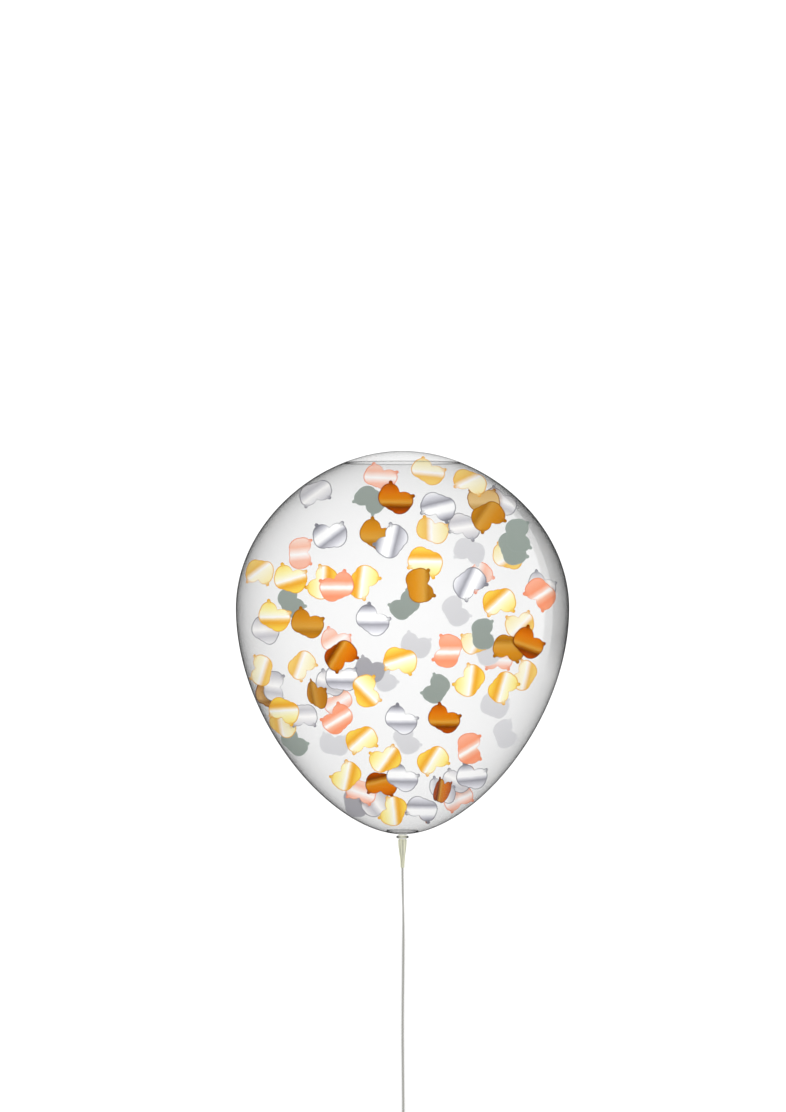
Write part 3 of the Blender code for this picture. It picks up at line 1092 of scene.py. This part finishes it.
@dataclass
class ConfettiFill:
    """The loose foil confetti sealed in the balloon, placed by the camera's pixels.

    A map for each wall, of square cells, holds how far in the flakes laid on it reach. A flake slides in
    from its wall in small steps, and stays where it has spare room. The photograph shows those above its
    full row, nearer the crown, larger by a growth for each pixel row.
    """

    shape: BodyShape
    camera: StudioCamera
    die: HeartDie = HeartDie()
    seed: int = 7
    cell: float = 0.0012
    map_reach: float = 0.25
    spare: float = 0.0006
    off_film: float = 0.0004
    slide: float = 0.0004
    search: int = 140
    nudge: float = 0.01
    curls: tuple[float, float] = (-9.0, -4.0)
    curl_turns: tuple[float, float] = (0.0, 180.0)
    full_row: float = 720.0
    growth: float = 0.00045

    def __post_init__(self) -> None:
        """Prepares the foils and an empty map for each wall."""
        self.draw = random.Random(self.seed)
        self.finishes = {foil: foil.value.build() for foil in Foil}
        self.reach = round(self.map_reach / self.cell)
        self.heights = {wall: np.full((2 * self.reach, 2 * self.reach), -1.0) for wall in Wall}
        self.counts = {foil: 0 for foil in Foil}

    def sight_line(self, column: float, row: float, wall: Wall) -> np.ndarray:
        """Lists the places inside the body that a pixel looks at.

        Args:
            column: The photograph's pixel column.
            row: Its pixel row.
            wall: The side to start from.

        Returns:
            Points down the line of sight, or up it from the lower wall.
        """
        start = self.camera.place
        heights = np.arange(2 * self.shape.radius, 0.0, -self.slide)
        line = np.array(start) + np.outer(start.z - heights, self.camera.ray(column, row))
        return line[self.shape.depth_inside(line) > 0][:: wall.value]

    def find_room(self, flake: Flake, cloud: np.ndarray, column: float, row: float) -> Matrix | None:
        """Slides a flake from its wall along a line of sight until it fits, and enters it in the map.

        Args:
            flake: The flake to lay.
            cloud: Its points in its own frame.
            column: The pixel column to place it at.
            row: The pixel row to place it at.

        Returns:
            Its place, or nothing if it fits nowhere near the wall.
        """
        line = self.sight_line(column, row, flake.wall)
        if not len(line):
            return None
        # Static holds it near the wall, but it stands off where the wall bends away
        outward = self.shape.normal(Vector(line[0]))
        normal = outward.lerp(Vector((0.0, 0.0, flake.wall.value)), flake.wall.stand_off).normalized()
        normal.rotate(Matrix.Rotation(math.radians(flake.lean), 3, "Y"))
        # Its notch points the way that the photograph shows
        turn = math.radians(flake.turn)
        wanted = Vector((math.sin(turn), math.cos(turn), 0.0))
        up = (wanted - normal * wanted.dot(normal)).normalized()
        pose = Matrix((up.cross(normal), up, normal)).transposed()
        turned = cloud @ np.array(pose).T
        heights = self.heights[flake.wall]
        for place in line[: self.search]:
            points = turned + place
            across, along = (np.floor(points[:, :2] / self.cell).astype(int) + self.reach).T
            inward = -flake.wall.value * points[:, 2]
            clear = (inward > heights[across, along] + self.spare).all()
            if clear and self.shape.depth_inside(points).min() > self.off_film:
                for step_x, step_y in product((-1, 0, 1), repeat=2):
                    np.maximum.at(heights, (across + step_x, along + step_y), inward)
                return Matrix.Translation(Vector(place)) @ pose.to_4x4()
        return None

    def lay(self, flake: Flake, tries: int = 40) -> None:
        """Lays a flake at its pixel, or as near to it towards the body's middle as it fits.

        Args:
            flake: The flake to lay.
            tries: How many places to try.
        """
        finish = flake.foil.value
        curl = self.draw.uniform(*self.curls)
        curl_turn = self.draw.uniform(*self.curl_turns)
        # The camera sees the backs of the lower ones, so their painted highlight band turns the other way
        band_turn = flake.wall.value * (flake.band - flake.turn)
        growth = 1 + self.growth * max(0.0, self.full_row - flake.row)
        name = f"{finish.name}_{self.counts[flake.foil] + 1:02d}"
        mesh = self.die.mesh(name, growth, curl, curl_turn, band_turn)
        cloud = np.array([vertex.co for vertex in mesh.vertices[: len(mesh.vertices) // 2]])
        pixel = Vector((flake.column, flake.row))
        middle = Vector((self.camera.axis_column, self.camera.middle_row))
        for step in range(tries):
            matrix = self.find_room(flake, cloud, *pixel.lerp(middle, self.nudge * step))
            if matrix:
                self.counts[flake.foil] += 1
                piece = add_piece(mesh, self.finishes[flake.foil], finish.slot, matrix=matrix)
                piece.visible_diffuse = False
                return
        bpy.data.meshes.remove(mesh)
        LOG.info("no room for a flake at %s, %s", flake.column, flake.row)

    def hidden_flakes(self) -> list[Flake]:
        """Sets flakes on the lower wall that the camera can't see behind those of the upper one.

        Returns:
            The flakes, of kinds drawn by chance.
        """
        kinds = (GOLD, SILVER, ROSE, GOLD, COPPER)
        near = [flake for flake in near_flakes() if flake.foil is not SAGE]
        return [replace(flake, foil=self.draw.choice(kinds), wall=Wall.UNDER) for flake in near]

    def build(self) -> None:
        """Lays every flake, from each wall inward."""
        for flake in near_flakes() + far_flakes():
            self.lay(flake)
        for flake in self.hidden_flakes():
            self.lay(flake, tries=1)
        for foil, count in self.counts.items():
            LOG.info("%s: %d flakes", foil.value.name, count)


@dataclass(frozen=True)
class StringTube:
    """A laid string's round body with its three strands, made along a path."""

    diameter: float = STRING_DIAMETER
    strands: int = 3
    lay_length: float = 0.0085
    strand_depth: float = 0.17
    groove_shade: float = 0.55
    sides: int = 12
    sharp_turn: float = 60.0

    def build(self, name: str, paths: list[tuple[list[Vector], bool]]) -> Mesh:
        """Makes string along one or more paths.

        Args:
            name: The mesh's name.
            paths: Each path's points, and whether it closes on itself.

        Returns:
            The mesh.
        """
        points, painted_shades, faces = [], [], []
        for path, closed in paths:
            starts = [len(points) + ring * self.sides for ring in range(len(path))]
            start_way = path[1] - path[0]
            side_way = min((Vector((1, 0, 0)), Vector((0, 1, 0))), key=lambda way: abs(way.dot(start_way)))
            run = 0.0
            for index, here in enumerate(path):
                before = path[index - 1] if index or closed else here
                after = path[(index + 1) % len(path)] if index + 1 < len(path) or closed else here
                ahead = (after - before).normalized()
                side_way = (side_way - ahead * side_way.dot(ahead)).normalized()
                other_way = ahead.cross(side_way)
                if index:
                    run += (here - path[index - 1]).length
                for side in range(self.sides):
                    turn = math.tau * side / self.sides
                    wave = math.cos(self.strands * (turn - math.tau * run / self.lay_length))
                    groove = (1 - wave) / 2
                    radius = self.diameter / 2 * (1 - self.strand_depth * groove)
                    points.append(here + (side_way * math.cos(turn) + other_way * math.sin(turn)) * radius)
                    # Painted shade in the grooves between the strands
                    painted_shades.append(self.groove_shade * groove)
            faces += join_rings(starts + starts[:1] if closed else starts, self.sides)
            if not closed:
                faces.append(tuple(range(starts[0], starts[0] + self.sides))[::-1])
                faces.append(tuple(range(starts[-1], starts[-1] + self.sides)))
        mesh = smooth_mesh(name, points, faces, {"fold": painted_shades})
        mesh.set_sharp_from_angle(angle=math.radians(self.sharp_turn))
        return mesh


@dataclass
class BalloonString:
    """The string: its turn round the neck, its free run to the surface, and its coil."""

    shape: BodyShape
    mean_radius: float = 0.0130
    across: int = 3
    turn_pitch: float = 0.00227
    layer_pitch: float = 0.00220
    turns: int = 18
    turn_steps: int = 20
    shift_start: float = 0.72
    lead_in: float = 0.0010
    lead_out: float = 0.0060
    spacing: float = 0.001
    knot_steps: int = 44
    lock_steps: int = 8
    lock_spacing: float = 0.0008
    lock_half_swing: float = 32.0
    lock_slant: float = 0.7
    knot_shade_power: int = 3

    def __post_init__(self) -> None:
        """Reads the string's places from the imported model."""
        low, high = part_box("string_coil")
        self.coil_middle = (low + high) / 2
        self.coil_base = low.z + STRING_DIAMETER / 2
        self.exit = Vector((0.0, self.shape.tail_end_y - TOUCH_GAP, self.shape.axis_height))

    def coil_points(self) -> list[Vector]:
        """Winds the coil: each layer runs in or out over the one below.

        Returns:
            Points of more turns than the string needs.
        """
        places = []
        for turn in range(self.turns + 1):
            layer, slot = divmod(turn, self.across)
            lane = slot if layer % 2 == 0 else self.across - 1 - slot
            radius = self.mean_radius + (1 - lane) * self.turn_pitch
            places.append(Vector((radius, layer * self.layer_pitch)))
        points = []
        for index in range(self.turn_steps * self.turns):
            turn, step = divmod(index, self.turn_steps)
            share = (step / self.turn_steps - self.shift_start) / (1 - self.shift_start)
            radius, lift = places[turn].lerp(places[turn + 1], ease(min(1.0, max(0.0, share))))
            angle = -math.tau * index / self.turn_steps
            x = self.coil_middle.x + radius * math.cos(angle)
            y = self.coil_middle.y + radius * math.sin(angle)
            points.append(Vector((x, y, self.coil_base + lift)))
        return points

    def path(self) -> list[Vector]:
        """Joins the free run and the coil and cuts them to the string's length.

        Returns:
            Even points from the tail to the string's bare end.
        """
        leads = [self.exit + Vector((0.0, along, 0.0)) for along in (self.lead_in, -self.lead_out)]
        run = [*STRING_DROOP, *((x, y, STRING_REST_HEIGHT) for x, y in STRING_LIE)]
        route = leads + [Vector(point) for point in run] + self.coil_points()
        points, length = smooth_path(route, self.spacing)
        return points[: round(len(points) * STRING_LENGTH / length) + 1]

    def build_run(self) -> None:
        """Makes the string from the tail to its bare end."""
        path = self.path()
        mesh = StringTube().build("balloon_string", [(path, False)])
        run = add_piece(mesh, [CottonString().build()], "string_cotton", "string", "string_coil")
        LOG.info("string: %.2f m", STRING_LENGTH)

    def build_knot(self) -> None:
        """Makes the turn round the neck, with painted shade at its sides, and the strand that locks it
        underneath.
        """
        low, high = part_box("string_knot")
        middle = (low + high) / 2
        radius = (high.x - low.x) / 2 - STRING_DIAMETER / 2
        ring = []
        for step in range(self.knot_steps):
            turn = math.tau * step / self.knot_steps
            ring.append(middle + Vector((radius * math.sin(turn), 0.0, -radius * math.cos(turn))))
        lock = []
        for step in range(self.lock_steps + 1):
            share = step / self.lock_steps
            swing = math.radians(self.lock_half_swing * (2 * share - 1))
            lift = radius + STRING_DIAMETER * math.sin(math.pi * share)
            along = STRING_DIAMETER * self.lock_slant * (share - 0.5)
            lock.append(middle + Vector((lift * math.sin(swing), along, -lift * math.cos(swing))))
        lock, _ = smooth_path(lock, self.lock_spacing)
        mesh = StringTube().build("string_knot_turn", [(ring, True), (lock, False)])
        # Painted shade, darker towards the sides of the turn
        shades = [min(1.0, abs(v.co.x - middle.x) / radius) ** self.knot_shade_power for v in mesh.vertices]
        mesh.attributes["fold"].data.foreach_set("value", shades)
        cotton = CottonString("knotted_grey_cotton_painted_shade", ((0.0, "#C6C6B2"), (1.0, "#3C3C38")))
        add_piece(mesh, [cotton.build()], "string_cotton", "string_knot")
        LOG.info("knot: one turn and its lock")

    def build(self) -> None:
        """Builds the string, its knot and the paper of the coil's tie."""
        self.build_knot()
        self.build_run()
        TiePaper().dress(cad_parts["coil_tie"])
        LOG.info("coil tie: paper")


@dataclass(frozen=True)
class Studio:
    """A plain white surface under an even white sky, with a wide softbox high over it."""

    floor_size: float = 12.0
    floor_drop: float = 0.0004
    floor_tone: float = 0.97
    sky: float = 1.20
    softbox_place: tuple[float, float, float] = (0.0, 0.1, 3.4)
    softbox_size: float = 2.4
    softbox_watts: float = 4.0

    def build_floor(self) -> None:
        """Makes the surface, just under the balloon."""
        half = self.floor_size / 2
        corners = [(-half, -half), (half, -half), (half, half), (-half, half)]
        mesh = bpy.data.meshes.new("floor")
        mesh.from_pydata([(x, y, -self.floor_drop) for x, y in corners], [], [(0, 1, 2, 3)])
        white = (self.floor_tone, self.floor_tone, self.floor_tone, 1.0)
        matt = {"Base Color": white, "Roughness": 0.9, "Specular IOR Level": 0.0}
        mesh.materials.append(new_material("matt_white_paper", matt)[0])
        floor = add_object("floor", mesh)

    def build_lights(self) -> None:
        """Makes the even white light from all round, and the softbox that looks straight down."""
        world = bpy.data.worlds.new("studio")
        world.use_nodes = True
        background = world.node_tree.nodes["Background"]
        background.inputs["Color"].default_value = linear("#FFFFFF")
        background.inputs["Strength"].default_value = self.sky
        bpy.context.scene.world = world
        light = bpy.data.lights.new("softbox", "AREA")
        light.shape = "SQUARE"
        light.size = self.softbox_size
        light.energy = self.softbox_watts
        add_object("softbox", light, self.softbox_place)

    def build(self) -> None:
        """Builds the studio and sets plain tones."""
        self.build_floor()
        self.build_lights()
        bpy.context.scene.view_settings.view_transform = "Standard"


def main() -> None:
    """Builds the camera, the balloon, its confetti, its string and the studio."""
    logging.basicConfig(level=logging.INFO, format="%(name)s: %(message)s")
    shape = BodyShape()
    camera = StudioCamera(shape)
    camera.build()
    BalloonString(shape).build()
    Balloon(shape).build()
    ConfettiFill(shape, camera).build()
    Studio().build()


if __name__ == "__main__":
    main()
